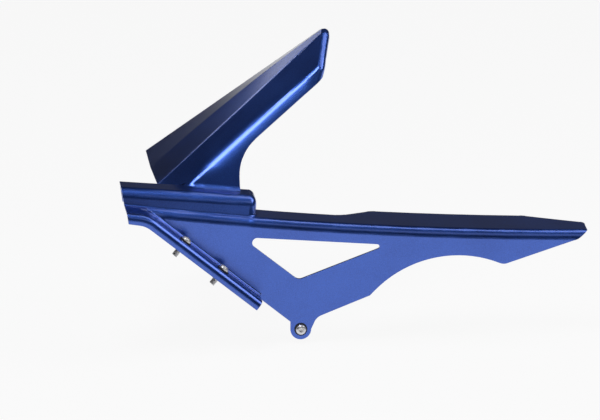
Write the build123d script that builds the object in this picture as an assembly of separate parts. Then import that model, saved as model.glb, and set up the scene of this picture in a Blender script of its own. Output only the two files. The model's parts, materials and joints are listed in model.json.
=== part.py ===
from build123d import *
import os
from math import asin, atan2, cos, degrees, hypot, radians, sin, sqrt, tan

# Rear hugger mudguard for a motorbike whose rear wheel is carried on one side.
# One moulded shell (mudguard, hose duct, arm flange and chain guard) and its fasteners.
# Millimetres. X runs back along the bike, Y runs in towards the wheel, Z is up.
# The origin is on the leg bolt's axis, at the inner face of the chain guard, which seats on the arm.

# Shell
wall = 3.0
wheel_plane = 127.0

# Upper edge of the chain guard, the rim: a shallow arc between two points
rim_front_x = -176.5
rim_front_height = 131.1
rim_rear_x = 291.0
rim_rear_height = 93.5
rim_sag = 6.76
rim_radius = 10.0
front_slant_angle = 8.0

# Top of the chain guard, seen from above
top_rise_angle = 5.0
top_depth_narrow = 29.0
top_depth_wide = 47.0
top_step_start = 44.0
top_step_length = 32.0
top_step_radius = 20.0
tip_taper_length = 60.0
tip_depth = 27.0
tip_corner_radius = 6.0

# Lower edge of the chain guard: tip, tail corner, sprocket arc and leg
tip_under_x = 281.0
tip_under_height = 86.0
tip_under_radius = 14.0
tail_corner_x = 205.0
tail_corner_height = 61.5
tail_corner_radius = 12.0
sprocket_arc_x = 138.0
sprocket_arc_height = 71.0
sprocket_end_x = 70.0
sprocket_end_height = 33.0
leg_radius = 10.5
leg_gusset_x = 16.0
leg_gusset_height = 12.0
leg_gusset_radius = 12.0

# Window in the chain guard
window_front_x = -59.7
window_front_height = 97.0
window_front_radius = 5.0
window_rear_x = 88.3
window_rear_height = 85.2
window_rear_radius = 2.5
window_low_x = -2.4
window_low_height = 51.3
window_low_radius = 7.0

# Ledge and flange over the arm's edge
ledge_bend_x = -154.0
ledge_bend_radius = 32.0
ledge_end_x = -41.0
ledge_end_height = 36.5
ledge_width = 31.0
flange_depth = 10.0
flange_radius = 7.0
pocket_radius = 2.5

# Hose duct
duct_rear_x = -44.0
duct_foot = 5.0
duct_foot_radius = 2.5
duct_lean = 3.0
duct_inboard = 34.0
duct_front_height = 17.0
duct_rear_height = 21.5
duct_top_rise = 2.0
duct_shoulder_radius = 12.0
duct_nose_radius = 8.0
hose_gap_width = 16.0
hose_gap_height = 15.0
hose_gap_sill = 4.0
hose_gap_radius = 5.0

# Mudguard: half widths from the wheel plane and heights, from its front to its tail
mud_front_x = -150.0
mud_tail_x = 50.0
crest_front_half = 78.0
crest_tail_half = 2.0
crest_front_height = 131.1
crest_tail_height = 290.3
ridge_rise = 5.0
shoulder_front_half = 112.0
shoulder_tail_half = 40.0
shoulder_front_drop = 19.1
shoulder_tail_drop = 20.3
shoulder_radius = 11.0
side_lean_angle = 25.0
side_drop = 70.0
mud_front_edge_height = 139.5
gutter_drop = 5.9
valley_radius = 9.0
mud_rear_edge_x = -58.0
mud_rear_corner_height = 171.5
mud_rear_radius = 45.0
tail_drop = 49.4
tail_trim = 1.3
tail_rake_angle = 19.5
tail_edge_radius = 5.5
tail_lip_depth = 8.0

# Fasteners
screw_diameter = 6.0
screw_clearance = 0.3
screw_length = 18.0
thread_pitch_diameter = 5.35
screw_tip_chamfer = 0.8
ledge_screw_count = 2
ledge_screw_spacing = 48.0
ledge_screw_from_end = 50.5
screw_from_plate = 18.0
head_diameter = 10.5
head_height = 3.3
head_rim = 0.8
head_flat_diameter = 5.0
socket_across_flats = 4.0
socket_depth = 2.0
washer_diameter = 13.0
washer_thickness = 1.2


rim_run = rim_rear_x - rim_front_x
rim_fall = rim_front_height - rim_rear_height
rim_chord = hypot(rim_run, rim_fall)
rim_arc_radius = (rim_chord**2 / 4 + rim_sag**2) / (2 * rim_sag)
rim_centre_x = (rim_front_x + rim_rear_x) / 2 + (rim_arc_radius - rim_sag) * rim_fall / rim_chord
rim_centre_z = (rim_front_height + rim_rear_height) / 2 + (rim_arc_radius - rim_sag) * rim_run / rim_chord


def rim_height(x):
    return rim_centre_z - sqrt(rim_arc_radius**2 - (x - rim_centre_x) ** 2)


def rim_slope(x):
    """Slope of the rim at x, in radians."""
    return asin((x - rim_centre_x) / rim_arc_radius)


def rim_plane(x):
    """Section plane across the rim at x: local x is Y, local y is up."""
    slope = rim_slope(x)
    return Plane(origin=(x, 0, rim_height(x)), x_dir=(0, 1, 0), z_dir=(cos(slope), 0, sin(slope)))


def prism(face, y_from, y_to):
    """Solid with a side-view outline, from y_from to y_to."""
    return extrude(Plane.XZ.offset(-y_from) * face, amount=y_from - y_to)


def rounded(corners):
    """Closed face from (x, y, radius) corners, each rounded by its radius."""
    face = make_face(Polyline([corner[:2] for corner in corners], close=True))
    for x, y, radius in corners:
        if radius > 0:
            face = fillet(face.vertices().sort_by_distance((x, y, 0))[0], radius)
    return face


def lowered(points, depth):
    """A polyline moved down by depth, square to each of its runs."""
    normals = []
    for (ax, az), (bx, bz) in zip(points, points[1:]):
        length = hypot(bx - ax, bz - az)
        normals.append(((bz - az) / length, (ax - bx) / length))
    moved = []
    for (x, z), (ax, az), (bx, bz) in zip(points, normals[:1] + normals, normals + normals[-1:]):
        share = depth / (1 + ax * bx + az * bz)
        moved.append((x + (ax + bx) * share, z + (az + bz) * share))
    return moved


overlap = 8.0
start_x = rim_front_x - overlap
sky = rim_front_height + duct_rear_height + overlap
ledge_path = [
    (start_x, rim_height(start_x)),
    (ledge_bend_x, rim_height(ledge_bend_x)),
    (ledge_end_x, ledge_end_height),
]
mud_near_edge_height = rim_height(mud_rear_edge_x) + duct_rear_height - gutter_drop
ledge_slope = atan2(ledge_path[1][1] - ledge_end_height, ledge_end_x - ledge_bend_x)


def chain_guard():
    reach = top_depth_wide + overlap
    drop = rim_height(0) + leg_radius + overlap
    rise = tan(radians(top_rise_angle))
    profile = rounded(
        [
            (-wall, -drop, 0),
            (-wall, -wall * rise, rim_radius),
            (reach, reach * rise, 0),
            (reach, reach * rise - wall, 0),
            (0, -wall, rim_radius - wall),
            (0, -drop, 0),
        ]
    )
    axis = Axis((rim_centre_x, 0, rim_centre_z), (0, -1, 0))
    turn = degrees(rim_slope(rim_rear_x) - rim_slope(start_x))
    sheet = revolve(rim_plane(start_x) * profile, axis, turn)

    under = lowered(ledge_path, wall)
    leg_top = under[-1][1] - (-leg_radius - under[-1][0]) * tan(ledge_slope)
    outline = make_face(
        [
            FilletPolyline(under[0], under[1], (-leg_radius, leg_top), radius=ledge_bend_radius - wall),
            Line((-leg_radius, leg_top), (-leg_radius, 0)),
            ThreePointArc((-leg_radius, 0), (0, -leg_radius), (leg_radius, 0)),
            FilletPolyline(
                (leg_radius, 0),
                (leg_gusset_x, leg_gusset_height),
                (sprocket_end_x, sprocket_end_height),
                radius=leg_gusset_radius,
            ),
            ThreePointArc(
                (sprocket_end_x, sprocket_end_height),
                (sprocket_arc_x, sprocket_arc_height),
                (tail_corner_x, tail_corner_height),
            ),
            FilletPolyline(
                (tail_corner_x, tail_corner_height),
                (tip_under_x, tip_under_height),
                (rim_rear_x, rim_rear_height),
                radius=tip_under_radius,
            ),
            Polyline((rim_rear_x, rim_rear_height), (rim_rear_x, sky), (start_x, sky), under[0]),
        ]
    )
    tail_corner = outline.vertices().sort_by_distance((tail_corner_x, tail_corner_height, 0))[0]
    outline = fillet(tail_corner, tail_corner_radius)
    window = rounded(
        [
            (window_front_x, window_front_height, window_front_radius),
            (window_rear_x, window_rear_height, window_rear_radius),
            (window_low_x, window_low_height, window_low_radius),
        ]
    )
    top_view = rounded(
        [
            (start_x, -wall, 0),
            (rim_rear_x, -wall, 0),
            (rim_rear_x, tip_depth, tip_corner_radius),
            (rim_rear_x - tip_taper_length, top_depth_wide, top_step_radius),
            (top_step_start + top_step_length, top_depth_wide, top_step_radius),
            (top_step_start, top_depth_narrow, top_step_radius),
            (start_x, top_depth_narrow, 0),
        ]
    )
    guard = sheet & prism(outline - window, -wall, reach)
    return guard & extrude(Plane.XY.offset(-drop) * top_view, amount=drop + sky)


def ledge_flange():
    outer = -wall - ledge_width
    profile = rounded(
        [
            (0, 0, 0),
            (outer, 0, flange_radius),
            (outer, -flange_depth, 0),
            (outer + wall, -flange_depth, 0),
            (outer + wall, -wall, flange_radius - wall),
            (0, -wall, 0),
        ]
    )
    path = Plane.XZ * FilletPolyline(*ledge_path, radius=ledge_bend_radius)
    start = Plane(
        origin=path @ 0,
        x_dir=(0, 1, 0),
        z_dir=path % 0,
    )
    front = ledge_path[:2]
    strip = make_face(Polyline(front + lowered(front, wall)[::-1], close=True))
    return sweep(start * profile, path) + prism(strip, -wall, duct_foot + wall)


def duct_outline(x, height, inset):
    """Section of the duct at x, moved in by inset and cut off below the rim."""
    bottom = -wall - 2 * inset
    shoulder = height - duct_top_rise

    def outer(up):
        return duct_foot + duct_lean * up / shoulder + inset

    return rim_plane(x) * rounded(
        [
            (outer(bottom), bottom, 0),
            (outer(shoulder - inset), shoulder - inset, duct_shoulder_radius - inset),
            (duct_inboard - inset, height - inset, 0),
            (duct_inboard - inset, bottom, 0),
        ]
    )


def duct_block(inset, nose_radius):
    """Solid inside the duct's outline, its rear end set in by inset and rounded."""
    end_x = duct_rear_x - inset
    block = loft(
        [
            duct_outline(start_x, duct_front_height, inset),
            duct_outline(end_x, duct_rear_height, inset),
        ]
    )
    end = block.faces().sort_by(Axis.X)[-1]
    rounded_edges = end.edges().sort_by(Axis.Z)[1:]
    return fillet(rounded_edges, nose_radius)


def mud_section(share, inset):
    """Cross-section of the mudguard at a share of the way from its front to its tail."""

    def between(front, tail):
        return front + share * (tail - front)

    x = between(mud_front_x, mud_tail_x)
    slope = atan2(crest_tail_height - crest_front_height, mud_tail_x - mud_front_x)
    down = inset / cos(slope)
    crest = between(crest_front_half, crest_tail_half)
    crest_z = between(crest_front_height, crest_tail_height) - down
    ridge_z = crest_z + 4 * ridge_rise * share * (1 - share)
    shoulder = between(shoulder_front_half, shoulder_tail_half) - inset
    shoulder_z = crest_z - between(shoulder_front_drop, shoulder_tail_drop)
    drop = side_drop + 2 * inset
    low = shoulder + drop * tan(radians(side_lean_angle))
    low_z = shoulder_z - drop
    near = [
        (-low, low_z, 0),
        (-shoulder, shoulder_z, shoulder_radius - inset),
        (-crest, crest_z, 0),
    ]
    far = [(-y, z, radius) for y, z, radius in reversed(near)]
    section = rounded(near + [(0, ridge_z, 0)] + far)
    return Plane(origin=(x, wheel_plane, 0), x_dir=(0, 1, 0), z_dir=(1, 0, 0)) * section


def mud_loaf(inset):
    """Solid under the mudguard's surface, moved in by inset."""
    return loft([mud_section(share, inset) for share in (0, 0.5, 1)])


def mud_block(inset, radius):
    """The loaf cut off at its raked tail end, which is set in by inset and rounded."""
    rake = radians(tail_rake_angle)
    end = Plane(
        origin=(mud_tail_x - tail_trim - inset / cos(rake), wheel_plane, crest_tail_height),
        x_dir=(0, 1, 0),
        z_dir=(cos(rake), 0, -sin(rake)),
    )
    block = split(mud_loaf(inset), bisect_by=end, keep=Keep.BOTTOM)
    tail = block.faces().sort_by(Axis.X)[-1]
    floor = tail.edges().sort_by(Axis.Z)[0]
    return fillet([edge for edge in tail.edges() if edge != floor], radius)


def mud_side(bottom, front_x):
    """Side view of the mudguard above a bottom height."""
    tail_low_x = mud_tail_x - tail_trim - tail_drop * tan(radians(tail_rake_angle))
    tail_low_height = crest_tail_height - tail_drop
    slope = (tail_low_height - mud_rear_corner_height) / (tail_low_x - mud_rear_edge_x)
    edge = FilletPolyline(
        (mud_rear_edge_x, bottom),
        (mud_rear_edge_x, mud_rear_corner_height),
        (tail_low_x + overlap, tail_low_height + overlap * slope),
        radius=mud_rear_radius,
    )
    top = crest_tail_height + overlap
    rest = Polyline(
        edge @ 1,
        (mud_tail_x, (edge @ 1).Y),
        (mud_tail_x, top),
        (front_x, top),
        (front_x, bottom),
        edge @ 0,
    )
    return make_face([edge, rest])


def mudguard():
    """Thin shell over the tyre, open below and at its tail, with a lip round the tail."""
    shell = mud_block(0, tail_edge_radius)
    shell -= mud_block(wall, tail_edge_radius - wall)
    shell -= mud_loaf(tail_lip_depth)
    crest_slope = (crest_tail_height - crest_front_height) / (mud_tail_x - mud_front_x)
    front_x = mud_front_x + (mud_front_edge_height - crest_front_height) / crest_slope
    far_side = wheel_plane + shoulder_front_half + side_drop
    near_side = wheel_plane - crest_front_half
    keep = prism(mud_side(mud_front_edge_height, mud_front_x), near_side, far_side)
    keep += prism(mud_side(mud_near_edge_height, front_x), 0, near_side)
    gutter = prism(
        make_face(
            Polyline(
                (front_x, mud_near_edge_height),
                (mud_rear_edge_x, mud_near_edge_height),
                (mud_rear_edge_x, mud_near_edge_height + wall),
                (front_x, mud_near_edge_height + wall),
                close=True,
            )
        ),
        duct_inboard - wall,
        near_side,
    )
    return (shell & keep) + (gutter - mud_loaf(wall))


def front_cut():
    """Everything ahead of the slanted front end."""
    lean = tan(radians(front_slant_angle))
    low = rim_front_height - flange_depth - overlap
    top_x = rim_front_x - lean * (sky - rim_front_height)
    low_x = rim_front_x - lean * (low - rim_front_height)
    ahead = start_x - 2 * overlap
    face = make_face(Polyline((top_x, sky), (low_x, low), (ahead, low), (ahead, sky), close=True))
    return prism(face, -2 * ledge_width, 2 * duct_inboard)


def hose_gap():
    """Opening in the duct's rear end, through which the hoses leave."""
    middle = (duct_foot + duct_lean + duct_inboard) / 2
    left = middle - hose_gap_width / 2
    right = middle + hose_gap_width / 2
    gap = rounded(
        [
            (left, hose_gap_sill, hose_gap_radius),
            (left, hose_gap_height, hose_gap_radius),
            (right, hose_gap_height, hose_gap_radius),
            (right, hose_gap_sill, hose_gap_radius),
        ]
    )
    return extrude(rim_plane(duct_rear_x) * gap, amount=2 * wall, both=True)


def guard_and_duct():
    """The duct standing on the chain guard, with a rounded corner along its foot."""
    guard = chain_guard()
    duct = duct_block(0, duct_nose_radius)
    joined = guard + duct
    above_rim = [
        edge
        for edge in new_edges(guard, duct, combined=joined)
        if (edge @ 0.5).Z > rim_height((edge @ 0.5).X) - wall / 2
    ]
    foot = ShapeList(above_rim).sort_by(SortBy.LENGTH)[-1]
    return fillet(foot, duct_foot_radius)


def with_mudguard(base):
    """The mudguard's near wall standing on the duct's top, with a rounded valley outside it."""
    mud = mudguard()
    joined = base + mud
    on_duct = [
        edge
        for edge in new_edges(base, mud, combined=joined)
        if (edge @ 0.5).Z > mud_near_edge_height + wall and (edge @ 0.5).Y < duct_inboard
    ]
    wall_feet = ShapeList(on_duct).sort_by(SortBy.LENGTH)[-2:]
    return fillet(wall_feet.sort_by(Axis.Y)[0], valley_radius)


def with_ledge(base):
    """The ledge and flange on the chain guard's outer face, with a rounded corner between them."""
    shell = base + ledge_flange()

    def off_ledge(point):
        run, rise = point.X - ledge_end_x, point.Z - ledge_end_height
        return abs(run * sin(ledge_slope) + rise * cos(ledge_slope)) + abs(point.Y + wall)

    corner = [edge for edge in shell.edges() if off_ledge(edge @ 0) + off_ledge(edge @ 1) < wall / 100]
    return fillet(corner, pocket_radius)


def ledge_seat(from_end):
    """Plane on top of the ledge, on a screw's axis."""
    return Plane(
        origin=(
            ledge_end_x - from_end * cos(ledge_slope),
            -wall - screw_from_plate,
            ledge_end_height + from_end * sin(ledge_slope),
        ),
        x_dir=(0, 1, 0),
        z_dir=(sin(ledge_slope), 0, cos(ledge_slope)),
    )


leg_seat = Plane(origin=(0, -wall, 0), x_dir=(1, 0, 0), z_dir=(0, -1, 0))
ledge_seats = [
    ledge_seat(ledge_screw_from_end + i * ledge_screw_spacing) for i in range(ledge_screw_count)
]
seats = ledge_seats + [leg_seat]


def hole(seat):
    return extrude(seat * Circle(screw_diameter / 2 + screw_clearance), amount=-2 * wall, both=True)


def washer(seat):
    ring = Circle(washer_diameter / 2) - Circle(screw_diameter / 2 + screw_clearance)
    return extrude(seat * ring, amount=washer_thickness)


def button_screw(seat):
    """Button head screw with a hexagon socket, its head on a washer on the seat.

    Its plain shank ends with the wall, and the thread stands out below."""
    edge = head_diameter / 2
    flat = head_flat_diameter / 2
    crown = Polyline(
        (0, head_height), (0, 0), (edge, 0), (edge, head_rim), (flat, head_height), close=True
    )
    screw = revolve(Plane.XZ * make_face(crown), Axis.Z)
    screw -= extrude(
        Plane.XY.offset(head_height - socket_depth)
        * RegularPolygon(socket_across_flats / 2, 6, major_radius=False),
        amount=head_height,
    )
    below_head = (Align.CENTER, Align.CENTER, Align.MAX)
    thread = Cylinder(thread_pitch_diameter / 2, screw_length, align=below_head)
    screw += chamfer(thread.edges().sort_by(Axis.Z)[0], screw_tip_chamfer)
    screw += Cylinder(screw_diameter / 2, washer_thickness + wall, align=below_head)
    return seat.offset(washer_thickness) * screw


shell = with_ledge(with_mudguard(guard_and_duct()))
shell = shell - duct_block(wall, duct_nose_radius - wall) - hose_gap() - front_cut()
for seat in seats:
    shell -= hole(seat)

parts = {
    "hugger_shell": shell,
    "screws": Compound(children=[button_screw(seat) for seat in seats]),
    "washers": Compound(children=[washer(seat) for seat in seats]),
}
os.makedirs("parts", exist_ok=True)
for name, part in parts.items():
    export_step(part, f"parts/{name}.step")
    print(name, part.is_valid, [round(solid.volume) for solid in part.solids()])
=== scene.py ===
import json
from math import cos, pi, radians, sin, tau

import bmesh
import bpy
import numpy as np
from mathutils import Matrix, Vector
from mathutils.bvhtree import BVHTree

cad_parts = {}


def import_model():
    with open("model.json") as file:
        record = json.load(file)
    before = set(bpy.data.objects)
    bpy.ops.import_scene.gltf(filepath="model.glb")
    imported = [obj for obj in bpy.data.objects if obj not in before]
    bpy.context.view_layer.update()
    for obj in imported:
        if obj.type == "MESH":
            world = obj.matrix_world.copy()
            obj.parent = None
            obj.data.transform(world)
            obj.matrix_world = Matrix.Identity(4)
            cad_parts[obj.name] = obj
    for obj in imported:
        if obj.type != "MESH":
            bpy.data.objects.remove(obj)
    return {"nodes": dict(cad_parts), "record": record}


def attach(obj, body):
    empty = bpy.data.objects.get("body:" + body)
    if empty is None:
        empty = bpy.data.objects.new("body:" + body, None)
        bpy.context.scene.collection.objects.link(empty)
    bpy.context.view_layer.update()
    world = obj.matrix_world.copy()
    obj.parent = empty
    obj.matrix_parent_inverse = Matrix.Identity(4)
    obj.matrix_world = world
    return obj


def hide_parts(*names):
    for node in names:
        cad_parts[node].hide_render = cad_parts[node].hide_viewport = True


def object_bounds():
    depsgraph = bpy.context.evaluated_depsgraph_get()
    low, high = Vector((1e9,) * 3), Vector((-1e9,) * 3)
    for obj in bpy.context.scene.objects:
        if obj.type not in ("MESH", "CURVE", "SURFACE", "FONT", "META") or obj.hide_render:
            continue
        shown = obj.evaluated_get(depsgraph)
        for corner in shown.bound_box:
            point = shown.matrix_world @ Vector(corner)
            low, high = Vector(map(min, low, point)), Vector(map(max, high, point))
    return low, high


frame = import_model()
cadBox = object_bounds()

scene = bpy.context.scene
mm = 0.001
nearZero = 1e-9


# Node helpers
def newMaterial(name):
    material = bpy.data.materials.new(name)
    material.use_nodes = True
    material.node_tree.nodes.clear()
    return material, material.node_tree


def addNode(tree, kind, inputs=None, **settings):
    node = tree.nodes.new(kind)
    for key, value in settings.items():
        setattr(node, key, value)
    for key, value in (inputs or {}).items():
        if isinstance(value, bpy.types.NodeSocket):
            tree.links.new(value, node.inputs[key])
        else:
            node.inputs[key].default_value = value
    return node


def calculate(tree, operation, *values):
    return addNode(tree, "ShaderNodeMath", dict(enumerate(values)), operation=operation).outputs[0]


def mixColours(tree, factor, first, second):
    inputs = {"Factor": factor, "A": first, "B": second}
    return addNode(tree, "ShaderNodeMix", inputs, data_type="RGBA").outputs["Result"]


def colourRamp(tree, factor, stops):
    # Two stops, each a place and a colour
    node = addNode(tree, "ShaderNodeValToRGB", {"Fac": factor})
    for element, (place, colour) in zip(node.color_ramp.elements, stops):
        element.position = place
        element.color = (*colour, 1)
    return node.outputs["Color"]


noise = {
    "span": (0.3, 0.7),        # most of its values lie in this
    "grainDetail": 2.0,
    "mottleDetail": 3.0,
}


def stretch(tree, value, low, high):
    # A noise value made to run from low to high
    least, most = noise["span"]
    inputs = {"Value": value, "From Min": least, "From Max": most, "To Min": low, "To Max": high}
    return addNode(tree, "ShaderNodeMapRange", inputs).outputs["Result"]


# Fine grain and broad mottle, used by every finish of the part
def buildGrainGroup():
    tree = bpy.data.node_groups.new("fineGrain", "ShaderNodeTree")
    for name in ("Grain Scale", "Mottle Scale"):
        tree.interface.new_socket(name, in_out="INPUT", socket_type="NodeSocketFloat")
    for name in ("Grain", "Mottle"):
        tree.interface.new_socket(name, in_out="OUTPUT", socket_type="NodeSocketFloat")
    given = addNode(tree, "NodeGroupInput").outputs
    place = addNode(tree, "ShaderNodeTexCoord").outputs["Object"]
    grain = {"Vector": place, "Scale": given["Grain Scale"], "Detail": noise["grainDetail"]}
    mottle = {"Vector": place, "Scale": given["Mottle Scale"], "Detail": noise["mottleDetail"]}
    fine = addNode(tree, "ShaderNodeTexNoise", grain).outputs["Fac"]
    broad = addNode(tree, "ShaderNodeTexNoise", mottle).outputs["Fac"]
    addNode(tree, "NodeGroupOutput", {"Grain": fine, "Mottle": broad})
    return tree


grainGroup = buildGrainGroup()


def addGrain(tree, look):
    node = addNode(tree, "ShaderNodeGroup", node_tree=grainGroup)
    node.inputs["Grain Scale"].default_value = look["grainScale"]
    node.inputs["Mottle Scale"].default_value = look["mottleScale"]
    return node.outputs


def addBump(tree, grain, look):
    bump = {"Height": grain["Grain"], "Strength": look["grainStrength"], "Distance": look["grainDepth"]}
    return addNode(tree, "ShaderNodeBump", bump).outputs["Normal"]


def finishMaterial(tree, inputs):
    shader = addNode(tree, "ShaderNodeBsdfPrincipled", inputs)
    addNode(tree, "ShaderNodeOutputMaterial", {"Surface": shader.outputs["BSDF"]})


# Metallic blue paint under clear lacquer
paintLook = {
    "deep": (0.028, 0.084, 0.420),
    "bright": (0.054, 0.150, 0.660),
    "stops": (0.30, 1.0),
    "flakeScale": 2600.0,      # cells per metre
    "flakeShare": 0.5,         # of a flake's tone in the colour
    "metallic": 0.9,
    "edge": (0.34, 0.42, 0.78),     # painted highlight along the rounded edges, partly thin paint there
    "edgeHighlightMetallic": 0.35,
    "edgeHighlightLeast": 0.1,
    "roughness": (0.28, 0.34),
    "mottleScale": 14.0,
    "grainScale": 240.0,       # orange peel of the lacquer
    "grainStrength": 0.3,
    "grainDepth": 0.004 * mm,
    "lacquerRoughness": 0.15,
}


def makePaint(look):
    material, tree = newMaterial("bluePaint")
    place = addNode(tree, "ShaderNodeTexCoord").outputs["Object"]
    flakes = addNode(tree, "ShaderNodeTexVoronoi", {"Vector": place, "Scale": look["flakeScale"]})
    parts = addNode(tree, "ShaderNodeSeparateColor", {"Color": flakes.outputs["Color"]}).outputs
    grain = addGrain(tree, look)
    tone = calculate(tree, "MULTIPLY_ADD", parts["Red"], look["flakeShare"], grain["Mottle"])
    tones = zip(look["stops"], (look["deep"], look["bright"]))
    # Pale, less metallic colour on the rounded edge strips: a painted highlight, partly thin paint there,
    # patchy by the mottle
    onEdge = addNode(tree, "ShaderNodeAttribute", attribute_name="edgeHighlightShare").outputs["Fac"]
    patchy = calculate(tree, "MULTIPLY_ADD", onEdge, grain["Mottle"], look["edgeHighlightLeast"])
    thinPaintAndHighlight = calculate(tree, "MULTIPLY", patchy, onEdge)
    blue = colourRamp(tree, tone, tones)
    shine = {"Value": thinPaintAndHighlight, "To Min": look["metallic"], "To Max": look["edgeHighlightMetallic"]}
    finishMaterial(
        tree,
        {
            "Base Color": mixColours(tree, thinPaintAndHighlight, blue, (*look["edge"], 1)),
            "Metallic": addNode(tree, "ShaderNodeMapRange", shine).outputs["Result"],
            "Roughness": stretch(tree, grain["Mottle"], *look["roughness"]),
            "Coat Weight": 1.0,
            "Coat Roughness": look["lacquerRoughness"],
            "Normal": addBump(tree, grain, look),
        },
    )
    return material


# Bare black moulding on the unpainted inside
plasticLook = {
    "dark": (0.010, 0.010, 0.011),
    "pale": (0.026, 0.026, 0.028),
    "stops": (0.3, 0.75),
    "metallic": 0.0,
    "roughness": (0.42, 0.60),
    "mottleScale": 22.0,
    "grainScale": 1100.0,
    "grainStrength": 0.5,
    "grainDepth": 0.06 * mm,
}
# Rubber of the washers
rubberLook = {
    "dark": (0.012, 0.012, 0.013),
    "pale": (0.030, 0.030, 0.032),
    "stops": (0.3, 0.75),
    "metallic": 0.0,
    "roughness": (0.55, 0.75),
    "mottleScale": 22.0,
    "grainScale": 2200.0,
    "grainStrength": 0.5,
    "grainDepth": 0.04 * mm,
}
# Stainless steel of the screws, faintly marked by turning and handling
steelLook = {
    "dark": (0.66, 0.66, 0.68),
    "pale": (0.86, 0.86, 0.87),
    "stops": (0.3, 0.7),
    "metallic": 1.0,
    "roughness": (0.40, 0.52),
    "mottleScale": 260.0,
    "grainScale": 3000.0,
    "grainStrength": 0.4,
    "grainDepth": 0.01 * mm,
}


def makeGrainy(name, look):
    material, tree = newMaterial(name)
    grain = addGrain(tree, look)
    tones = zip(look["stops"], (look["dark"], look["pale"]))
    finishMaterial(
        tree,
        {
            "Base Color": colourRamp(tree, grain["Mottle"], tones),
            "Metallic": look["metallic"],
            "Roughness": stretch(tree, grain["Mottle"], *look["roughness"]),
            "Normal": addBump(tree, grain, look),
        },
    )
    return material


bluePaint = makePaint(paintLook)
barePlastic = makeGrainy("bareBlackPlastic", plasticLook)
blackRubber = makeGrainy("blackRubber", rubberLook)
stainlessSteel = makeGrainy("stainlessSteel", steelLook)
print("materials made")


# Shell: a finer copy of the solid's skin, its curved faces bowed out and its sharp edges rounded
shellFinish = {
    "weldStep": 1e-6,          # metres
    "leastArea": 0.5e-14,      # square metres
    "thinFace": 0.6 * mm,      # long triangles less high than this give way to their neighbour
    "thinLength": 25 * mm,
    "thinTurn": 25.0,          # degrees between the two
    "sharpAngle": 40.0,        # degrees between two faces, more than any step of a rounding
    "creaseAngle": 2.0,        # enough for an edge on the mudguard's creases
    "flatAngle": 1.2,          # degrees that the skin's normals may differ from a flat face's
    "curveSteps": 4,           # parts that a curved edge is divided into
    "bow": (0.004 * mm, 0.3 * mm),  # least and most that an edge is bowed out
    "edgeRound": 0.5 * mm,
    "roundSteps": 2,
    "joinAngle": 0.05,         # degrees between triangles that count as one flat face
    "narrow": 1.2,             # faces less wide than this many roundings keep their edge
    "tubeFit": 0.04 * mm,      # how well a face must follow a round tube to take its normals
    "tubeRadius": 60 * mm,     # the largest
    "tubeFaces": 4,            # the fewest
}
# Lines of the mudguard's creases, from its front to its tail
creases = {
    "front": -150 * mm,
    "tail": 50 * mm,
    "height": (131.1 * mm, 290.3 * mm),
    "half": (78 * mm, 2 * mm),
    "ridgeRise": 5 * mm,
    "wall": 3.83 * mm,         # measured upright
    "middlePlane": 127 * mm,
    "reach": 1.5 * mm,
}
# Spots that name the mudguard's near faces, the lines between them, and how softly the skin turns there
softLines = {
    "faces": {
        "upper": (-53.8 * mm, 71.4 * mm, 199.9 * mm),
        "top": (-59.0 * mm, 101.5 * mm, 205.5 * mm),
        "shoulder": (-97.9 * mm, 32.5 * mm, 150.3 * mm),
        "lower": (-72.2 * mm, 37.6 * mm, 161.8 * mm),
    },
    "lines": {
        "crest": ("upper", "top"),
        "brow": ("upper", "shoulder"),
        "shoulder": ("shoulder", "lower"),
    },
    "crestReach": 2.2 * mm,
    "crestDrop": 0.2 * mm,
    "crestEnd": (4 * mm, 22 * mm),  # where its rounding fades out, towards the tail
    "shoulderCuts": (2.5 * mm, 6 * mm, 10 * mm, 15 * mm, 21 * mm),  # on the face below the line
    "shoulderShare": 0.28,     # of the turn, left to the face below
    "shoulderEnd": (12 * mm, 26 * mm),
    "browCuts": (2.5 * mm, 5.5 * mm, 9 * mm, 14 * mm),      # on the face above
    "browShare": 0.42,         # of the turn, begun on the face above
    "browEnd": (-45 * mm, 26 * mm),
    "foot": (149 * mm, 161 * mm),   # heights between which the softness of both starts
}


def unit(vectors):
    return vectors / np.linalg.norm(vectors, axis=-1, keepdims=True)


def pairOf(a, b):
    return (a, b) if a < b else (b, a)


def acrossFaces(points, faces):
    # Each triangle's normal, as long as twice its area
    a, b, c = (points[faces[:, k]] for k in range(3))
    return np.cross(b - a, c - a)


def readSkin(node, finish):
    mesh = node.data
    points = np.empty(len(mesh.vertices) * 3)
    mesh.vertices.foreach_get("co", points)
    corners = np.empty(len(mesh.loops), dtype=np.int64)
    mesh.loops.foreach_get("vertex_index", corners)
    normals = np.empty(len(mesh.loops) * 3)
    mesh.corner_normals.foreach_get("vector", normals)
    points = points.reshape(-1, 3)
    keys = np.round(points / finish["weldStep"]).astype(np.int64)
    first, place = np.unique(keys, axis=0, return_index=True, return_inverse=True)[1:]
    faces = place.reshape(-1)[corners].reshape(-1, 3)
    points, normals = points[first], normals.reshape(-1, 3, 3)
    groups = faceGroups(corners.reshape(-1, 3))
    while turnThinFaces(points, faces, normals, groups, finish):
        pass
    whole = np.linalg.norm(acrossFaces(points, faces), axis=1) > 2 * finish["leastArea"]
    return points, faces[whole], normals[whole], groups[whole]


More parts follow.
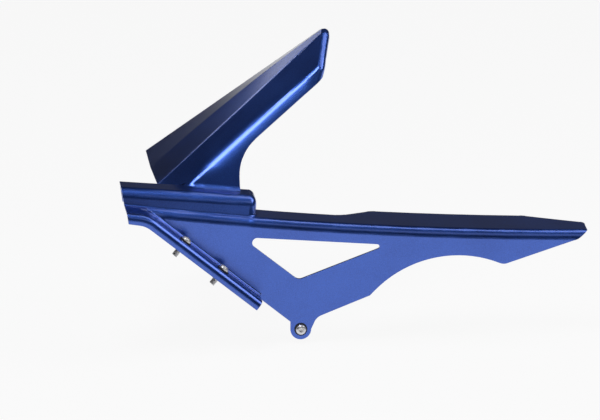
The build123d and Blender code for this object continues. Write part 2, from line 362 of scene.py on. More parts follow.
def turnThinFaces(points, faces, normals, groups, finish):
    # A long triangle with its third point close to its long edge is turned to share its neighbour's face
    owner = {}
    for i, face in enumerate(faces.tolist()):
        for k in range(3):
            owner[(face[k], face[(k + 1) % 3])] = i
    corner = points[faces]
    lengths = np.linalg.norm(np.roll(corner, -1, axis=1) - corner, axis=2)
    across = acrossFaces(points, faces)
    twiceArea, longest = np.linalg.norm(across, axis=1), lengths.max(axis=1)
    thin = (twiceArea < finish["thinFace"] * longest) & (longest > finish["thinLength"])
    turned = set()
    for i in np.where(thin)[0].tolist():
        a, b, c = np.roll(faces[i], -lengths[i].argmax()).tolist()
        j = owner.get((b, a))
        if j is None or i in turned or j in turned:
            continue
        start = faces[j].tolist().index(b)
        d = int(faces[j][(start + 2) % 3])
        before = min(twiceArea[i] / longest[i], twiceArea[j] / longest[j])
        bent = across[i] @ across[j] < cos(radians(finish["thinTurn"])) * twiceArea[i] * twiceArea[j]
        if c == d or bent or min(heightOf(points, (c, a, d)), heightOf(points, (b, c, d))) <= before:
            continue
        atB, atA, atD = np.roll(normals[j], -start, axis=0)
        share = np.linalg.norm(points[c] - points[b]) / np.linalg.norm(points[a] - points[b])
        atC = unit(atB + share * (atA - atB))
        faces[i], normals[i], groups[i] = (c, a, d), (atC, atA, atD), groups[j]
        faces[j], normals[j] = (b, c, d), (atB, atC, atD)
        turned.update((i, j))
    return len(turned)


def heightOf(points, face):
    p, q, r = points[list(face)]
    longest = max(np.linalg.norm(q - p), np.linalg.norm(r - q), np.linalg.norm(p - r))
    return np.linalg.norm(np.cross(q - p, r - p)) / longest


def faceGroups(corners):
    # Triangles that belong to one face of the solid share points, and no others do
    group = np.arange(corners.max() + 1)
    while True:
        least = group[corners].min(axis=1)
        before = group.copy()
        for k in range(3):
            np.minimum.at(group, corners[:, k], least)
        if (group == before).all():
            return group[corners[:, 0]]


def cutSkin(skin, chosen, level):
    # Divides the chosen faces, and those beside them, along the line where the level is zero
    points, faces, normals, groups = skin
    cuts, added = {}, []
    for face in faces[chosen].tolist():
        for k in range(3):
            a, b = pairOf(face[k], face[(k + 1) % 3])
            if level[a] * level[b] < 0 and (a, b) not in cuts:
                share = level[a] / (level[a] - level[b])
                cuts[(a, b)] = (len(points) + len(added), share)
                added.append(points[a] + share * (points[b] - points[a]))
    newFaces, newNormals, newGroups = [], [], []
    for face, turned, group in zip(faces.tolist(), normals, groups):
        ring, start = [], 0
        for k in range(3):
            a, b, after = face[k], face[(k + 1) % 3], turned[(k + 1) % 3]
            ring.append((a, turned[k]))
            if pairOf(a, b) in cuts:
                middle, share = cuts[pairOf(a, b)]
                share = share if a < b else 1 - share
                start = start or len(ring)
                ring.append((middle, unit(turned[k] + share * (after - turned[k]))))
        ring = ring[start:] + ring[:start]
        for second, third in zip(ring[1:], ring[2:]):
            newFaces.append([ring[0][0], second[0], third[0]])
            newNormals.append([ring[0][1], second[1], third[1]])
            newGroups.append(group)
    points = np.vstack([points, added]) if added else points
    return points, np.array(newFaces), np.array(newNormals), np.array(newGroups)


def awayFrom(points, line):
    start, along = line
    return np.linalg.norm(points - start - np.outer((points - start) @ along, along), axis=1)


def ramp(values, start, end):
    return np.clip((values - start) / (end - start), 0, 1)


def findLines(skin, soft):
    # The lines between the mudguard's near faces, as a point and a direction, and the faces' labels
    points, faces, groups = skin[0], skin[1], skin[3]
    tree = BVHTree.FromPolygons(points.tolist(), faces.tolist())
    labels = {name: groups[tree.find_nearest(spot)[2]] for name, spot in soft["faces"].items()}
    beside = {name: set(faces[groups == label].reshape(-1).tolist()) for name, label in labels.items()}
    lines = {}
    for name, (one, other) in soft["lines"].items():
        shared = points[sorted(beside[one] & beside[other])]
        along = np.linalg.svd(shared - shared.mean(axis=0))[2][0]
        lines[name] = (shared.mean(axis=0), along)
        off = awayFrom(shared, lines[name]).max() / mm
        print(name, "line:", len(shared), "points, off by", off, "mm")
    return labels, lines


def cutSoftLines(skin, soft):
    # Cuts beside the lines, and across them at a height (2) or a place towards the tail (0)
    labels, lines = findLines(skin, soft)
    turning = ("upper", "lower", "shoulder")
    for names, measure, cuts in (
        (("upper", "top"), "crest", (soft["crestReach"],)),
        (("lower",), "shoulder", soft["shoulderCuts"]),
        (("upper",), "brow", soft["browCuts"]),
        (turning, 2, soft["foot"][1:]),
        (turning, 0, (soft["browEnd"][0], soft["shoulderEnd"][0])),
    ):
        for cut in cuts:
            points, groups = skin[0], skin[3]
            chosen = np.isin(groups, [labels[name] for name in names])
            level = awayFrom(points, lines[measure]) if measure in lines else points[:, measure]
            skin = cutSkin(skin, chosen, level - cut)
    return skin, labels, lines


def softenLines(points, faces, normals, groups, labels, lines, soft):
    # Turns the normals beside the lines, and lowers the crest to a small rounding
    own = {name: groups == label for name, label in labels.items()}
    corners = {name: faces[chosen] for name, chosen in own.items()}
    means = {name: unit(normals[chosen].mean(axis=(0, 1))) for name, chosen in own.items()}

    def near(line, reach):
        return 1 - ramp(awayFrom(points, lines[line]), 0, reach)

    def before(end):
        return 1 - ramp(points[:, 0], *end)

    def lean(name, other, share):
        share = share[..., None]
        normals[own[name]] = unit(normals[own[name]] * (1 - share) + means[other] * share)

    crest = near("crest", soft["crestReach"]) * before(soft["crestEnd"])
    start = ramp(points[:, 2], *soft["foot"])
    below = soft["shoulderShare"] * start * before(soft["shoulderEnd"])
    above = soft["browShare"] * start * before(soft["browEnd"])
    turn = np.arccos(np.clip(normals[own["shoulder"]] @ means["upper"], -1, 1))
    turned = np.clip(turn / np.arccos(means["lower"] @ means["upper"]), 0, 1)
    lean("upper", "top", crest[corners["upper"]] / 2)
    lean("upper", "lower", (above * near("brow", soft["browCuts"][-1]) ** 2)[corners["upper"]])
    lean("top", "upper", crest[corners["top"]] / 2)
    lean("shoulder", "upper", below[corners["shoulder"]] * turned)
    lean("shoulder", "lower", above[corners["shoulder"]] * (1 - turned))
    lean("lower", "upper", (below * near("shoulder", soft["shoulderCuts"][-1]) ** 2)[corners["lower"]])
    onTop = np.unique(np.vstack([corners["upper"], corners["top"]]))
    points[onTop] -= soft["crestDrop"] * crest[onTop, None] ** 2 * unit(means["upper"] + means["top"])
    return set(np.vstack(list(corners.values())).reshape(-1).tolist())


def roundNormals(points, faces, normals, faceNormals, flat, groups, finish):
    # Faces of the solid that are parts of a round tube take the tube's exact normals
    count = 0
    for label in np.unique(groups[~flat]):
        own = np.where(groups == label)[0]
        if len(own) < finish["tubeFaces"]:
            continue
        across = np.linalg.eigh(faceNormals[own].T @ faceNormals[own]).eigenvectors[:, 1:]
        flatPoints = points[np.unique(faces[own])] @ across
        table = np.column_stack([2 * flatPoints, np.ones(len(flatPoints))])
        centre = np.linalg.lstsq(table, (flatPoints**2).sum(axis=1), rcond=None)[0][:2]
        reach = np.linalg.norm(flatPoints - centre, axis=1)
        if reach.mean() > finish["tubeRadius"] or np.ptp(reach) > finish["tubeFit"]:
            continue
        outward = unit(points[faces[own]] @ across - centre) @ across.T
        side = np.sign(np.einsum("fij,fj->f", outward, faceNormals[own]))
        normals[own] = outward * side[:, None, None]
        count += 1
    print("round faces:", count)


def onCreases(points, lines):
    # Which points lie on a crest and which on the ridge, outside or inside the wall
    share = (points[:, 0] - lines["front"]) / (lines["tail"] - lines["front"])
    height = lines["height"][0] + share * (lines["height"][1] - lines["height"][0])
    half = lines["half"][0] + share * (lines["half"][1] - lines["half"][0])
    aside = np.abs(points[:, 1] - lines["middlePlane"])
    ridge = height + 4 * lines["ridgeRise"] * share * (1 - share)

    def near(out, level):
        rise = points[:, 2] - level
        return np.hypot(out, np.minimum(abs(rise), abs(rise + lines["wall"]))) < lines["reach"]

    return near(aside - half, height), near(aside, ridge)


def findSharp(points, faces, faceNormals, finish):
    # Edges to round, and with False the creases, which stay as they are
    crest, ridge = onCreases(points, creases)
    sides = {}
    for i, face in enumerate(faces.tolist()):
        for k in range(3):
            sides.setdefault(pairOf(face[k], face[(k + 1) % 3]), []).append(i)
    sharp = {}
    for (a, b), pair in sides.items():
        if len(pair) != 2:
            continue
        turn = np.degrees(np.arccos(np.clip(faceNormals[pair[0]] @ faceNormals[pair[1]], -1, 1)))
        if turn > finish["sharpAngle"]:
            sharp[(a, b)] = True
        elif turn > finish["creaseAngle"] and (crest[a] and crest[b] or ridge[a] and ridge[b]):
            sharp[(a, b)] = False
    return sharp


def smoothNormals(points, faces, given, faceNormals, flat, sharp):
    # Each corner's normal, shared round a point up to the sharp edges there. Flat faces keep theirs.
    around = {}
    for i, face in enumerate(faces.tolist()):
        for k in range(3):
            around.setdefault(face[k], []).append((i, k))
    normals = np.empty_like(given)
    for point, corners in around.items():
        left = dict(corners)
        while left:
            group = [left.popitem()]
            for i, k in group:
                for other in (faces[i][(k + 1) % 3], faces[i][(k + 2) % 3]):
                    if pairOf(point, other) in sharp:
                        continue
                    for j in [j for j in left if other in faces[j]]:
                        group.append((j, left.pop(j)))
            total = np.zeros(3)
            anyFlat = any(flat[i] for i, k in group)
            for i, k in group:
                one = points[faces[i][(k + 1) % 3]] - points[point]
                two = points[faces[i][(k + 2) % 3]] - points[point]
                lengths = np.linalg.norm(one) * np.linalg.norm(two)
                if anyFlat:
                    weight = np.arccos(np.clip(one @ two / lengths, -1, 1)) if flat[i] else 0.0
                else:
                    weight = np.linalg.norm(np.cross(one, two)) / lengths**2
                total += weight * faceNormals[i]
            for i, k in group:
                normals[i, k] = given[i, k] if flat[i] else unit(total)
    return normals


def sortEdges(points, faces, normals, flat, sharp, finish):
    # For every edge, the two guide points of its curve, or none where it stays straight
    least, most = finish["bow"]
    straight = set(sharp)
    for face in faces[flat].tolist():
        straight.update(pairOf(face[k], face[(k + 1) % 3]) for k in range(3))
    edges = {}
    for face, turned in zip(faces.tolist(), normals):
        for k in range(3):
            a, b = face[k], face[(k + 1) % 3]
            if pairOf(a, b) in edges:
                continue
            run = points[b] - points[a]
            bowA, bowB = run @ turned[k], -run @ turned[(k + 1) % 3]
            # Height of the curve's middle above the straight edge
            bow = np.linalg.norm(bowA * turned[k] + bowB * turned[(k + 1) % 3]) / 8
            guide = None
            if pairOf(a, b) not in straight and least < bow < most:
                guide = [
                    points[a] + (run - bowA * turned[k]) / 3,
                    points[b] + (-run - bowB * turned[(k + 1) % 3]) / 3,
                ]
            edges[pairOf(a, b)] = {"guide": guide if a < b or guide is None else guide[::-1]}
    return edges


def refineSkin(points, faces, normals, edges, steps):
    newPoints = points.tolist()
    for (a, b), edge in edges.items():
        edge["inner"] = []
        if not edge["guide"]:
            continue
        first, second = edge["guide"]
        for k in range(1, steps):
            t = k / steps
            s = 1 - t
            spot = s**3 * points[a] + 3 * s * s * t * first + 3 * s * t * t * second + t**3 * points[b]
            edge["inner"].append(len(newPoints))
            newPoints.append(spot.tolist())
    newFaces, newNormals = [], []

    def along(a, b):
        edge = edges[pairOf(a, b)]
        return edge["inner"] if a < b else edge["inner"][::-1]

    for face, turned in zip(faces.tolist(), normals):
        known = dict(zip(face, turned))

        def addFace(*corners):
            newFaces.append(corners)
            newNormals.append([known[corner] for corner in corners])

        sidesOf = [(face[i], face[(i + 1) % 3]) for i in range(3)]
        for a, b in sidesOf:
            for k, corner in enumerate(along(a, b), 1):
                known[corner] = unit(known[a] * (steps - k) + known[b] * k)
        curved = [bool(along(a, b)) for a, b in sidesOf]
        if sum(curved) == 0:
            addFace(*face)
        elif sum(curved) == 1:
            i = curved.index(True)
            a, b = sidesOf[i]
            tip = face[(i + 2) % 3]
            chain = [a, *along(a, b), b]
            for p, q in zip(chain, chain[1:]):
                addFace(p, q, tip)
        elif sum(curved) == 2:
            i = curved.index(False)
            a, b = sidesOf[i]
            tip = face[(i + 2) % 3]
            left = [a, *along(a, tip)]
            right = [b, *along(b, tip)]
            for k in range(steps - 1):
                addFace(left[k], right[k], right[k + 1])
                addFace(left[k], right[k + 1], left[k + 1])
            addFace(left[-1], right[-1], tip)
        else:
            addBowedTriangle(face, along, edges, points, known, newPoints, addFace, steps)
    return np.array(newPoints), newFaces, newNormals


def addBowedTriangle(face, along, edges, points, known, newPoints, addFace, steps):
    # A triangle bowed on all three sides, filled by a grid on its cubic patch
    a, b, c = face
    ends = [points[a], points[b], points[c]]
    guides = {}
    for p, q in ((0, 1), (1, 2), (2, 0)):
        first, second = edges[pairOf(face[p], face[q])]["guide"]
        guides[(p, q)], guides[(q, p)] = (first, second) if face[p] < face[q] else (second, first)
    rim = sum(guides.values()) / 6
    middle = rim + (rim - sum(ends) / 3) / 2
    grid = {(0, 0): a, (steps, 0): b, (0, steps): c}
    for k, corner in enumerate(along(a, b), 1):
        grid[(k, 0)] = corner
    for k, corner in enumerate(along(b, c), 1):
        grid[(steps - k, k)] = corner
    for k, corner in enumerate(along(c, a), 1):
        grid[(0, steps - k)] = corner
    for i in range(1, steps):
        for j in range(1, steps - i):
            v, w = i / steps, j / steps
            u = 1 - v - w
            share = (u, v, w)
            spot = 6 * u * v * w * middle
            for p in range(3):
                spot = spot + share[p] ** 3 * ends[p]
            for (p, q), guide in guides.items():
                spot = spot + 3 * share[p] ** 2 * share[q] * guide
            grid[(i, j)] = len(newPoints)
            known[len(newPoints)] = unit(known[a] * u + known[b] * v + known[c] * w)
            newPoints.append(spot.tolist())
    for i in range(steps):
        for j in range(steps - i):
            addFace(grid[(i, j)], grid[(i + 1, j)], grid[(i, j + 1)])
            if i + j < steps - 1:
                addFace(grid[(i + 1, j)], grid[(i + 1, j + 1)], grid[(i, j + 1)])


def roundEdges(mesh, sharp, kept, finish):
    # Flat triangles are joined, then each sharp edge is marked for the rounding
    shape = bmesh.new()
    shape.from_mesh(mesh)
    weights = shape.edges.layers.float.new("bevel_weight_edge")
    for edge in shape.edges:
        edge[weights] = float(sharp.get(pairOf(edge.verts[0].index, edge.verts[1].index), False))
    bmesh.ops.dissolve_limit(
        shape,
        angle_limit=radians(finish["joinAngle"]),
        delimit={"NORMAL"},
        verts=[vert for vert in shape.verts if vert.index not in kept],
        edges=[edge for edge in shape.edges if not kept.issuperset(vert.index for vert in edge.verts)],
    )
    for edge in shape.edges:
        if edge[weights] > 0:
            least = finish["narrow"] * finish["edgeRound"] * edge.calc_length()
            small = [len(face.verts) <= 4 and face.calc_area() < least for face in edge.link_faces]
            edge[weights] = 0.0 if any(small) else edge[weights]
    shape.to_mesh(mesh)
    shape.free()


def makeShell(node, finish):
    (points, faces, given, groups), labels, lines = cutSoftLines(readSkin(node, finish), softLines)
    faceNormals = unit(acrossFaces(points, faces))
    sharp = findSharp(points, faces, faceNormals, finish)
    flat = (np.einsum("fij,fj->fi", given, faceNormals) > cos(radians(finish["flatAngle"]))).all(axis=1)
    normals = smoothNormals(points, faces, given, faceNormals, flat, sharp)
    roundNormals(points, faces, normals, faceNormals, flat, groups, finish)
    edges = sortEdges(points, faces, normals, flat, sharp, finish)
    kept = softenLines(points, faces, normals, groups, labels, lines, softLines)
    points, faces, normals = refineSkin(points, faces, normals, edges, finish["curveSteps"])
    mesh = bpy.data.meshes.new("huggerShell")
    mesh.from_pydata(points.tolist(), [], faces)
    mesh.update(calc_edges=True)
    turned = mesh.attributes.new("skinNormal", "FLOAT_VECTOR", "CORNER")
    turned.data.foreach_set("vector", np.array(normals, dtype=np.float32).reshape(-1))
    roundEdges(mesh, sharp, kept, finish)
    mesh.materials.append(bluePaint)
    mesh.materials.append(barePlastic)
    shell = bpy.data.objects.new("huggerShell", mesh)
    scene.collection.objects.link(shell)
    rounding = shell.modifiers.new("roundedEdges", "BEVEL")
    rounding.limit_method = "WEIGHT"
    rounding.width = finish["edgeRound"]
    rounding.segments = finish["roundSteps"]
    rounding.use_clamp_overlap = False
    rounding.material = 1      # marks the new strips until they are painted
    evaluated = shell.evaluated_get(bpy.context.evaluated_depsgraph_get())
    rounded = bpy.data.meshes.new_from_object(evaluated)
    shell.modifiers.clear()
    shell.data = rounded
    paintShell(rounded)
    print("shell:", len(faces), "faces before rounding,", len(rounded.polygons), "after")
    return shell


def paintShell(mesh):
    # Smooth normals of the skin on its faces, blended over the rounded strips, and paint outside only
    strips = np.array([face.material_index == 1 for face in mesh.polygons])
    totals = np.array([face.loop_total for face in mesh.polygons])
    stripCorners = np.repeat(strips, totals)
    corners = np.empty(len(mesh.loops), dtype=np.int64)
    mesh.loops.foreach_get("vertex_index", corners)
    turned = np.empty(len(mesh.loops) * 3)
    mesh.attributes["skinNormal"].data.foreach_get("vector", turned)
    turned = turned.reshape(-1, 3)
    sums = np.zeros((len(mesh.vertices), 3))
    np.add.at(sums, corners[~stripCorners], turned[~stripCorners])
    faceNormals = np.array([face.normal[:] for face in mesh.polygons])
    areas = np.array([face.area for face in mesh.polygons])
    areaSums = np.zeros((len(mesh.vertices), 3))
    np.add.at(areaSums, corners, np.repeat(faceNormals * areas[:, None], totals, axis=0))
    lonely = np.linalg.norm(sums, axis=1) < nearZero
    sums[lonely] = areaSums[lonely]
    turned[stripCorners] = sums[corners[stripCorners]]
    turned[np.linalg.norm(turned, axis=1) < nearZero] = (0, 0, 1)
    mesh.shade_smooth()
    mesh.normals_split_custom_set(unit(turned).tolist())
    centres = np.array([face.center[:] for face in mesh.polygons])
    bare = innerFaces(centres, faceNormals, creases, unpainted) & ~strips
    mesh.polygons.foreach_set("material_index", bare.astype(np.int32))
    mesh.attributes.remove(mesh.attributes["skinNormal"])
    # Marks the rounded strips, where the paint shows its painted edge highlight
    edgeHighlightShare = mesh.attributes.new("edgeHighlightShare", "FLOAT", "FACE")
    edgeHighlightShare.data.foreach_set("value", strips.astype(np.float32))
    mesh.update()


unpainted = {
    "hollowDrop": 70 * mm,     # from the crests to the middle of the mudguard's hollow
    "side": 34.5 * mm,         # the mudguard lies inboard of this and above the duct's foot
    "foot": 120 * mm,
    "roof": 158 * mm,          # or above this
    "seesHollow": 0.25,        # least share of a normal that faces that middle
    "under": (0, 0.7, -0.714),      # down and inboard
    "seesUnder": 0.35,
}


def innerFaces(centres, normals, lines, rule):
    # Faces that look into the mudguard's hollow, or down and inboard under the chain guard and ledge
    x, y, z = centres.T
    rise = (lines["height"][1] - lines["height"][0]) / (lines["tail"] - lines["front"])
    hollowHeight = lines["height"][0] + (x - lines["front"]) * rise - rule["hollowDrop"]
    toHollow = unit(np.stack([0 * x, lines["middlePlane"] - y, hollowHeight - z], axis=1))
    onMudguard = (y > rule["side"]) & (z > rule["foot"]) | (z > rule["roof"])
    seesHollow = (normals * toHollow).sum(axis=1) > rule["seesHollow"]
    return np.where(onMudguard, seesHollow, normals @ np.array(rule["under"]) > rule["seesUnder"])


shell = makeShell(frame["nodes"]["hugger_shell"], shellFinish)
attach(shell, "root")
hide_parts("hugger_shell")
print("shell finished and painted")


# Fasteners: a seat on the wall's outside at each mount, with the way its screw head faces
seatWall = 3 * mm
seats = [
    {"place": Vector(mount["pos_m"]) - seatWall * Vector(mount["axis"]), "faces": -Vector(mount["axis"])}
    for mount in frame["record"]["mounts"]
]
washerForm = {
    "sizes": {
        "Inner Radius": 3.3 * mm,
        "Outer Radius": 6.5 * mm,
        "Thickness": 1.2 * mm,
        "Edge Radius": 0.35 * mm,
    },
    "ringSteps": 72,
    "edgeSteps": 3,
    "smoothAngle": 40.0,       # degrees between faces that still shade as one
}
screwForm = {
    "sizes": {
        "Head Lift": washerForm["sizes"]["Thickness"],
        "Thread Start": 3.4 * mm,
        "Thread Length": 14.2 * mm,
        "Thread Pitch": 1.0 * mm,
        "Core Radius": 2.45 * mm,
        "Ridge": 0.53 * mm,
    },
    "turnSteps": 28,           # in one turn of the thread
    "ridgeSides": 4,
    "coreSides": 48,
    "smoothAngle": 32.0,
}
headSizes = {
    "radius": 5.25 * mm,
    "rim": 0.8 * mm,
    "height": 3.3 * mm,
    "flat": 2.55 * mm,
    "domeSteps": 8,
    "domeBend": 68.0,          # degrees of arc from the flat to the rim
    "chamfer": 0.25 * mm,
    "socket": 2.0 * mm,        # half the hexagon's width
    "socketDepth": 2.0 * mm,
    "socketLip": 0.12 * mm,
    "lipDrops": (0.18 * mm, 0.036 * mm),    # the lip's two edges, below the flat
    "pit": (0.6 * mm, 0.25 * mm),   # half width and depth of the drill's mark
    "shank": 3.0 * mm,
    "shankLength": 4.2 * mm,
    "shankEnd": (0.4 * mm, 0.3 * mm),       # its chamfer, inwards and along
    "columns": 72,
}


def seatMesh(name):
    mesh = bpy.data.meshes.new(name)
    mesh.from_pydata([seat["place"] for seat in seats], [], [])
    ways = np.array([seat["faces"] for seat in seats], dtype=np.float32)
    mesh.attributes.new("facing", "FLOAT_VECTOR", "POINT").data.foreach_set("vector", ways.reshape(-1))
    return mesh


def headMesh(sizes):
    # Domed button head with a hexagon socket, and the plain shank under it, as rings round the axis
    columns = sizes["columns"]
    angles = [tau * k / columns for k in range(columns)]

    def hexagon(half):
        return [half / cos((angle + pi / 6) % (pi / 3) - pi / 6) for angle in angles]

    def circle(radius):
        return [radius] * columns

    top, deep = sizes["height"], sizes["height"] - sizes["socketDepth"]
    socket, lip, chamfer = sizes["socket"], sizes["socketLip"], sizes["chamfer"]
    rings = [
        (hexagon(sizes["pit"][0]), deep - sizes["pit"][1]),
        (hexagon(socket - lip), deep),
        (hexagon(socket), deep + lip),
        (hexagon(socket), top - sizes["lipDrops"][0]),
        (hexagon(socket + lip), top - sizes["lipDrops"][1]),
        (circle(sizes["flat"]), top),
    ]
    whole = radians(sizes["domeBend"])
    for k in range(1, sizes["domeSteps"] + 1):
        bend = k / sizes["domeSteps"] * whole
        out = sizes["flat"] + (sizes["radius"] - sizes["flat"]) * sin(bend) / sin(whole)
        down = (top - sizes["rim"]) * (1 - cos(bend)) / (1 - cos(whole))
        rings.append((circle(out), top - down))
    rings += [
        (circle(sizes["radius"]), chamfer),
        (circle(sizes["radius"] - chamfer), 0.0),
        (circle(sizes["shank"]), 0.0),
        (circle(sizes["shank"]), -sizes["shankLength"] + sizes["shankEnd"][1]),
        (circle(sizes["shank"] - sizes["shankEnd"][0]), -sizes["shankLength"]),
    ]
    points, faces = [], []
    for radii, z in rings:
        points += [(r * cos(angle), r * sin(angle), z) for r, angle in zip(radii, angles)]
    for row in range(len(rings) - 1):
        for k in range(columns):
            a, b = row * columns + k, row * columns + (k + 1) % columns
            faces.append((a, a + columns, b + columns, b))
    faces.append(tuple(range(columns)))
    faces.append(tuple(range(len(points) - 1, len(points) - 1 - columns, -1)))
    mesh = bpy.data.meshes.new("buttonHead")
    mesh.from_pydata(points, [], faces)
    return mesh


def newGeometryTree(name, sizes, objects=()):
    tree = bpy.data.node_groups.new(name, "GeometryNodeTree")
    tree.interface.new_socket("Geometry", in_out="INPUT", socket_type="NodeSocketGeometry")
    for size in sizes:
        tree.interface.new_socket(size, in_out="INPUT", socket_type="NodeSocketFloat")
    for item in objects:
        tree.interface.new_socket(item, in_out="INPUT", socket_type="NodeSocketObject")
    tree.interface.new_socket("Finish", in_out="INPUT", socket_type="NodeSocketMaterial")
    tree.interface.new_socket("Geometry", in_out="OUTPUT", socket_type="NodeSocketGeometry")
    return tree, addNode(tree, "NodeGroupInput").outputs


def placeOnSeats(tree, given, piece):
    # The piece on every seat, turned so that its axis is the way the seat faces
    named = addNode(tree, "GeometryNodeInputNamedAttribute", {"Name": "facing"}, data_type="FLOAT_VECTOR")
    facing = {"Vector": named.outputs["Attribute"]}
    turn = addNode(tree, "FunctionNodeAlignRotationToVector", facing, axis="Z").outputs["Rotation"]
    seated = {"Points": given["Geometry"], "Instance": piece, "Rotation": turn}
    copies = addNode(tree, "GeometryNodeInstanceOnPoints", seated).outputs["Instances"]
    real = addNode(tree, "GeometryNodeRealizeInstances", {"Geometry": copies}).outputs["Geometry"]
    done = addNode(tree, "GeometryNodeSetMaterial", {"Geometry": real, "Material": given["Finish"]})
    addNode(tree, "NodeGroupOutput", {"Geometry": done.outputs["Geometry"]})


def lift(tree, piece, rise):
    way = addNode(tree, "ShaderNodeCombineXYZ", {"X": 0.0, "Y": 0.0, "Z": rise}).outputs["Vector"]
    moved = addNode(tree, "GeometryNodeTransform", {"Geometry": piece, "Translation": way})
    return moved.outputs["Geometry"]


def join(tree, *pieces):
    both = addNode(tree, "GeometryNodeJoinGeometry")
    for piece in pieces:
        tree.links.new(piece, both.inputs["Geometry"])
    return both.outputs["Geometry"]


def sweep(tree, path, section, capped):
    # The section along a path, whose normals stay upright
    steady = addNode(tree, "GeometryNodeSetCurveNormal", {"Curve": path}, mode="Z_UP").outputs["Curve"]
    inputs = {"Curve": steady, "Profile Curve": section, "Fill Caps": capped}
    return addNode(tree, "GeometryNodeCurveToMesh", inputs).outputs["Mesh"]


def screwTree():
    tree, given = newGeometryTree("screwsOnSeats", screwForm["sizes"], ["Head"])
    length, radius = given["Thread Length"], given["Core Radius"]
    helix = addNode(
        tree,
        "GeometryNodeCurveSpiral",
        {
            "Resolution": screwForm["turnSteps"],
            "Rotations": calculate(tree, "DIVIDE", length, given["Thread Pitch"]),
            "Start Radius": radius,
            "End Radius": radius,
            "Height": length,
        },
    )
    section = {"Resolution": screwForm["ridgeSides"], "Radius": given["Ridge"]}
    ridge = addNode(tree, "GeometryNodeCurvePrimitiveCircle", section).outputs["Curve"]
    thread = sweep(tree, helix.outputs["Curve"], ridge, True)
    rod = {"Vertices": screwForm["coreSides"], "Radius": radius, "Depth": length}
    core = addNode(tree, "GeometryNodeMeshCylinder", rod)
    coreUp = lift(tree, core.outputs["Mesh"], calculate(tree, "MULTIPLY", length, 0.5))
    below = calculate(tree, "ADD", given["Thread Start"], length)
    threadDown = lift(tree, join(tree, coreUp, thread), calculate(tree, "MULTIPLY", below, -1.0))
    head = addNode(tree, "GeometryNodeObjectInfo", {"Object": given["Head"]})
    headUp = lift(tree, head.outputs["Geometry"], given["Head Lift"])
    placeOnSeats(tree, given, join(tree, headUp, threadDown))
    return tree


def washerTree():
    tree, given = newGeometryTree("washersOnSeats", washerForm["sizes"])
    inner, outer, thickness = given["Inner Radius"], given["Outer Radius"], given["Thickness"]
    middle = calculate(tree, "MULTIPLY", calculate(tree, "ADD", outer, inner), 0.5)
    path = {"Resolution": washerForm["ringSteps"], "Radius": middle}
    ring = addNode(tree, "GeometryNodeCurvePrimitiveCircle", path)
    edges = {"Width": calculate(tree, "SUBTRACT", outer, inner), "Height": thickness}
    section = addNode(tree, "GeometryNodeCurvePrimitiveQuadrilateral", edges).outputs["Curve"]
    corners = {"Curve": section, "Radius": given["Edge Radius"], "Count": washerForm["edgeSteps"]}
    rounded = addNode(tree, "GeometryNodeFilletCurve", corners, mode="POLY").outputs["Curve"]
    body = sweep(tree, ring.outputs["Curve"], rounded, False)
    placeOnSeats(tree, given, lift(tree, body, calculate(tree, "MULTIPLY", thickness, 0.5)))
    return tree


def growOnSeats(name, tree, values, smoothAngle):
    piece = bpy.data.objects.new(name, seatMesh(name))
    scene.collection.objects.link(piece)
    grower = piece.modifiers.new("grow", "NODES")
    grower.node_group = tree
    for socket in tree.interface.items_tree:
        if socket.in_out == "INPUT" and socket.name in values:
            grower[socket.identifier] = values[socket.name]
    evaluated = piece.evaluated_get(bpy.context.evaluated_depsgraph_get())
    mesh = bpy.data.meshes.new_from_object(evaluated)
    piece.modifiers.clear()
    piece.data = mesh
    outward = bmesh.new()
    outward.from_mesh(mesh)
    bmesh.ops.recalc_face_normals(outward, faces=outward.faces)
    outward.to_mesh(mesh)
    outward.free()
    mesh.shade_smooth()
    mesh.set_sharp_from_angle(angle=radians(smoothAngle))
    print(name + ":", len(mesh.polygons), "faces")
    return piece


headObject = bpy.data.objects.new("buttonHead", headMesh(headSizes))
scene.collection.objects.link(headObject)
screwValues = {**screwForm["sizes"], "Head": headObject, "Finish": stainlessSteel}
screws = growOnSeats("buttonScrews", screwTree(), screwValues, screwForm["smoothAngle"])
bpy.data.objects.remove(headObject)
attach(screws, "root")
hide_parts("screws")

washerValues = {**washerForm["sizes"], "Finish": blackRubber}
washers = growOnSeats("rubberWashers", washerTree(), washerValues, washerForm["smoothAngle"])
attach(washers, "root")
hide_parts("washers")
print("fasteners placed")


# Floor, light and camera
studio = {
    "floorDrop": 4 * mm,
    "floorSize": 8.0,
    "floorColour": (0.80, 0.80, 0.81),
    "floorGlow": 0.92,         # share of plain white that the camera and gloss see
    "low": (0.85, 0.86, 0.88),      # the room below the horizon, as the floor's far side
    "lowBlend": 0.08,
    "wall": (0.014, 0.014, 0.017),
}


def seenShare(tree, share):
    # One for rays of the camera, gloss and glass, times a share
    path = addNode(tree, "ShaderNodeLightPath").outputs
    both = calculate(tree, "MAXIMUM", path["Is Camera Ray"], path["Is Glossy Ray"])
    every = calculate(tree, "MAXIMUM", both, path["Is Transmission Ray"])
    return calculate(tree, "MULTIPLY", every, share)


def makeFloor(settings):
    lowest = cadBox[0][2] - settings["floorDrop"]
    half = settings["floorSize"] / 2
    mesh = bpy.data.meshes.new("floor")
    corners = [(-half, -half), (half, -half), (half, half), (-half, half)]
    mesh.from_pydata([(x, y, lowest) for x, y in corners], [], [(0, 1, 2, 3)])
    floor = bpy.data.objects.new("floor", mesh)
    scene.collection.objects.link(floor)
    material, tree = newMaterial("paleFloor")
    diffuse = addNode(tree, "ShaderNodeBsdfDiffuse", {"Color": (*settings["floorColour"], 1)})
    glow = addNode(tree, "ShaderNodeEmission", {"Color": (1, 1, 1, 1), "Strength": 1.0})
    share = seenShare(tree, settings["floorGlow"])
    mix = addNode(tree, "ShaderNodeMixShader", {0: share, 1: diffuse.outputs[0], 2: glow.outputs[0]})
    addNode(tree, "ShaderNodeOutputMaterial", {"Surface": mix.outputs[0]})
    mesh.materials.append(material)


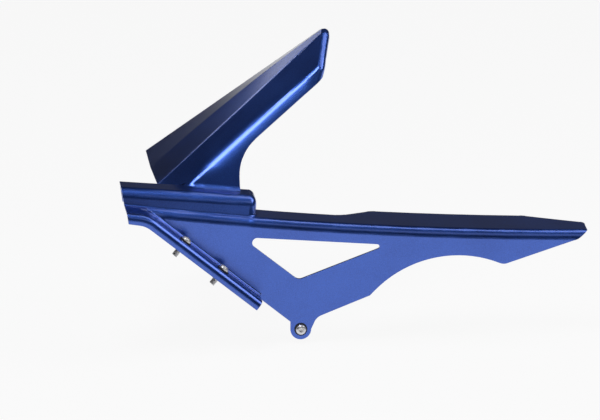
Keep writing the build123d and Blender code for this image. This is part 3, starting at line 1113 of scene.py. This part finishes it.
def makeWorld(settings):
    world = bpy.data.worlds.new("studioRoom")
    scene.world = world
    world.use_nodes = True
    tree = world.node_tree
    tree.nodes.clear()
    direction = addNode(tree, "ShaderNodeTexCoord").outputs["Generated"]
    height = addNode(tree, "ShaderNodeSeparateXYZ", {"Vector": direction}).outputs["Z"]
    span = {"From Min": -settings["lowBlend"], "From Max": 0.0, "To Min": 1.0, "To Max": 0.0}
    low = addNode(tree, "ShaderNodeMapRange", {"Value": height, **span}).outputs["Result"]
    room = mixColours(tree, low, (*settings["wall"], 1), (*settings["low"], 1))
    seen = addNode(tree, "ShaderNodeLightPath").outputs["Is Camera Ray"]
    white = calculate(tree, "MAXIMUM", seen, seenShare(tree, low))
    colour = mixColours(tree, white, room, (1, 1, 1, 1))
    background = addNode(tree, "ShaderNodeBackground", {"Color": colour, "Strength": 1.0})
    addNode(tree, "ShaderNodeOutputWorld", {"Surface": background.outputs[0]})


lamps = {
    "keySoftbox": {
        "place": (-0.42, -0.48, 1.55), "aim": (-0.04, 0.06, 0.2), "size": (0.45, 1.1), "watts": 10.0,
    },
    "overheadSoftbox": {
        "place": (0.80, 0.30, 1.6), "aim": (0.80, 0.30, 0.0), "size": (1.2, 0.6), "watts": 3.6,
    },
    "rightSoftbox": {
        "place": (1.2, -0.15, 1.2), "aim": (-0.05, 0.0, 0.1), "size": (1.1, 0.5), "watts": 5.0,
    },
    "tailStrip": {
        "place": (-0.66, 1.75, 0.97), "aim": (-0.01, 0.12, 0.25), "size": (0.35, 0.2), "watts": 0.3,
    },
    "crestLamp": {
        "place": (-0.97, 1.63, 1.46), "aim": (-0.04, 0.09, 0.21), "size": (0.26, 0.26), "watts": 0.75,
    },
    "frontPanel": {
        "place": (0.72, -1.2, 1.65), "aim": (0.05, 0.0, 0.12), "size": (0.9, 0.7), "watts": 1.1,
    },
    "sidePanel": {
        "place": (1.0, -6.9, 1.2), "aim": (0.0, 0.0, 0.12), "size": (3.0, 1.4), "watts": 3.0,
    },
    "backPanel": {
        "place": (0.50, 1.9, 0.85), "aim": (0.15, 0.02, 0.1), "size": (1.0, 0.5), "watts": 0.09,
    },
}


def makeLamps(settings):
    for name, lamp in settings.items():
        data = bpy.data.lights.new(name, "AREA")
        data.shape = "RECTANGLE"
        data.size, data.size_y = lamp["size"]
        data.energy = lamp["watts"]
        light = bpy.data.objects.new(name, data)
        light.location = lamp["place"]
        way = Vector(lamp["aim"]) - Vector(lamp["place"])
        light.rotation_euler = way.to_track_quat("-Z", "Y").to_euler()
        scene.collection.objects.link(light)


view = {
    "azimuth": -6.0,
    "elevation": 14.0,
    "target": (-0.8 * mm, -3 * mm, 123.5 * mm),
    "distance": 6.0,
    "fieldWidth": 0.6,
}


def makeCamera(settings):
    turn, rise = radians(settings["azimuth"]), radians(settings["elevation"])
    back = Vector((sin(turn) * cos(rise), -cos(turn) * cos(rise), sin(rise)))
    data = bpy.data.cameras.new("camera")
    data.lens = data.sensor_width * settings["distance"] / settings["fieldWidth"]
    camera = bpy.data.objects.new("camera", data)
    camera.location = Vector(settings["target"]) + back * settings["distance"]
    camera.rotation_euler = (-back).to_track_quat("-Z", "Y").to_euler()
    scene.collection.objects.link(camera)
    scene.camera = camera


makeFloor(studio)
makeWorld(studio)
makeLamps(lamps)
makeCamera(view)
scene.view_settings.view_transform = "Standard"
print("studio set")
